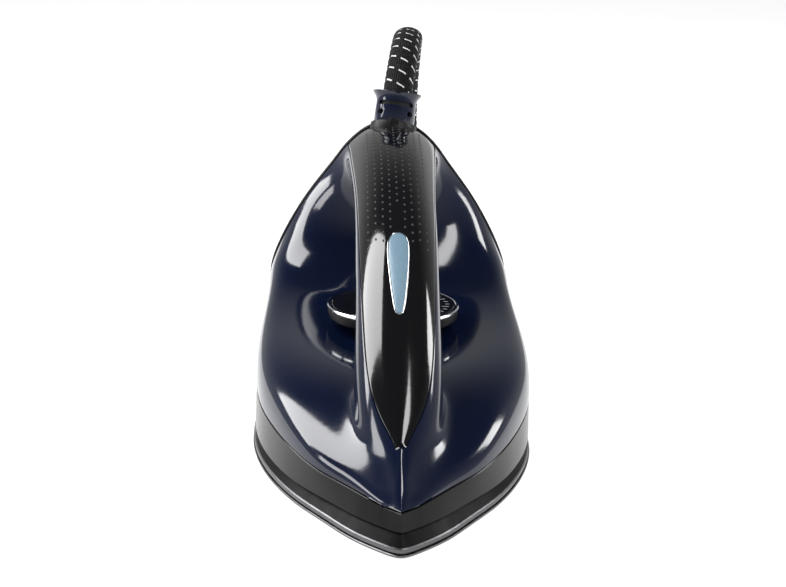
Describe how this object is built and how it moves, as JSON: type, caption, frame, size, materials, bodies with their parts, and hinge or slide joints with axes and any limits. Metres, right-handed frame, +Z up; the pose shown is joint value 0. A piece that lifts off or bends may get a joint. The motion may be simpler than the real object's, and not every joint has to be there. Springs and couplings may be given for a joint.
{
  "type": "clothes iron",
  "caption": "Steam station iron: pointed soleplate, glossy body, arched grip with a thumb lens and finger trigger, dial under the grip, braided hose.",
  "frame": {"origin": "under the middle of the handpiece, on the surface the sole rests on", "axes": "+Y towards the heel and the cord, nose at -Y; +X to the right of someone who faces the nose; +Z up from the sole"},
  "size_m": [0.1202, 0.5845, 0.162],
  "materials": {
    "navy_plastic": "gloss",
    "black_gloss_plastic": "gloss",
    "black_plastic": "satin",
    "shield_plastic": "satin",
    "light_blue_lens": "gloss",
    "chrome": "polished",
    "cast_aluminium": "cast",
    "sole_coating": "satin",
    "steel": "satin",
    "brass": "satin",
    "ceramic": "matt",
    "silicone": "matt",
    "rubber": "matt",
    "board": "satin",
    "braid": "woven"
  },
  "bodies": {
    "iron_body": {"sole_sheet": "sole_coating", "soleplate": "cast_aluminium", "heating_element": "steel", "chamber_cover": "cast_aluminium", "chamber_screw_1": "steel", "chamber_screw_2": "steel", "chamber_screw_3": "steel", "steam_inlet": "brass", "thermostat_bracket": "steel", "bracket_screw_1": "steel", "bracket_screw_2": "steel", "thermostat": "ceramic", "thermal_fuse": "ceramic", "fuse_clip": "steel", "earth_tag": "brass", "heat_shield": "shield_plastic", "shield_screw_1": "steel", "shield_screw_2": "steel", "shield_screw_3": "steel", "lens_bezel": "chrome", "lens": "light_blue_lens", "lamp_board": "board", "lamp": "ceramic", "cord_grommet": "rubber", "strain_relief": "navy_plastic", "trigger_pin": "steel", "switch_carrier": "black_plastic", "microswitch": "black_plastic", "trigger_spring": "steel", "main_shell": "navy_plastic", "grip_cover": "black_gloss_plastic", "rear_cover": "black_plastic", "heel_screw_1": "steel", "heel_screw_2": "steel", "heel_pad_low": "rubber", "heel_pad_high": "rubber", "cord_clamp": "steel", "steam_hose": "silicone", "terminal_block": "ceramic", "wire_supply": "black_plastic", "wire_thermostat": "black_plastic", "wire_heater_live": "black_plastic", "wire_heater_neutral": "black_plastic", "wire_earth": "board", "wire_switch": "black_plastic", "wire_lamp": "black_plastic", "cord_rise": "braid", "cord_hank": "braid", "cord_tie": "black_plastic", "cord_tail": "braid", "coupling_boot": "rubber", "coupling_body": "navy_plastic", "coupling_contacts": "brass", "coupling_nozzle": "chrome"},
    "dial": {"dial_knob": "black_plastic", "dial_ring": "chrome", "dial_face": "black_gloss_plastic", "dial_spindle": "steel"},
    "trigger": {"steam_trigger": "navy_plastic"},
    "plunger": {"switch_plunger": "silicone"}
  },
  "joints": [
    {"name": "dial_turn", "type": "hinge", "parent": "iron_body", "child": "dial", "pos_m": [0, 0.029, 0.0486], "axis": [0, 0, 1], "range_deg": [-150, 150]},
    {"name": "trigger_press", "type": "hinge", "parent": "iron_body", "child": "trigger", "pos_m": [0, 0.02349, 0.09427], "axis": [-1, 0, 0], "range_deg": [0, 5.5], "stiffness_Nm_per_rad": 0.6, "deforming": ["trigger_spring"]},
    {"name": "plunger_slide", "type": "slide", "parent": "iron_body", "child": "plunger", "axis": [0, -0.3827, 0.9239], "range_m": [0, 0.00188]}
  ],
  "couplings": [
    {"joint": "plunger_slide", "follows": "trigger_press", "m_per_rad": 0.0195}
  ]
}
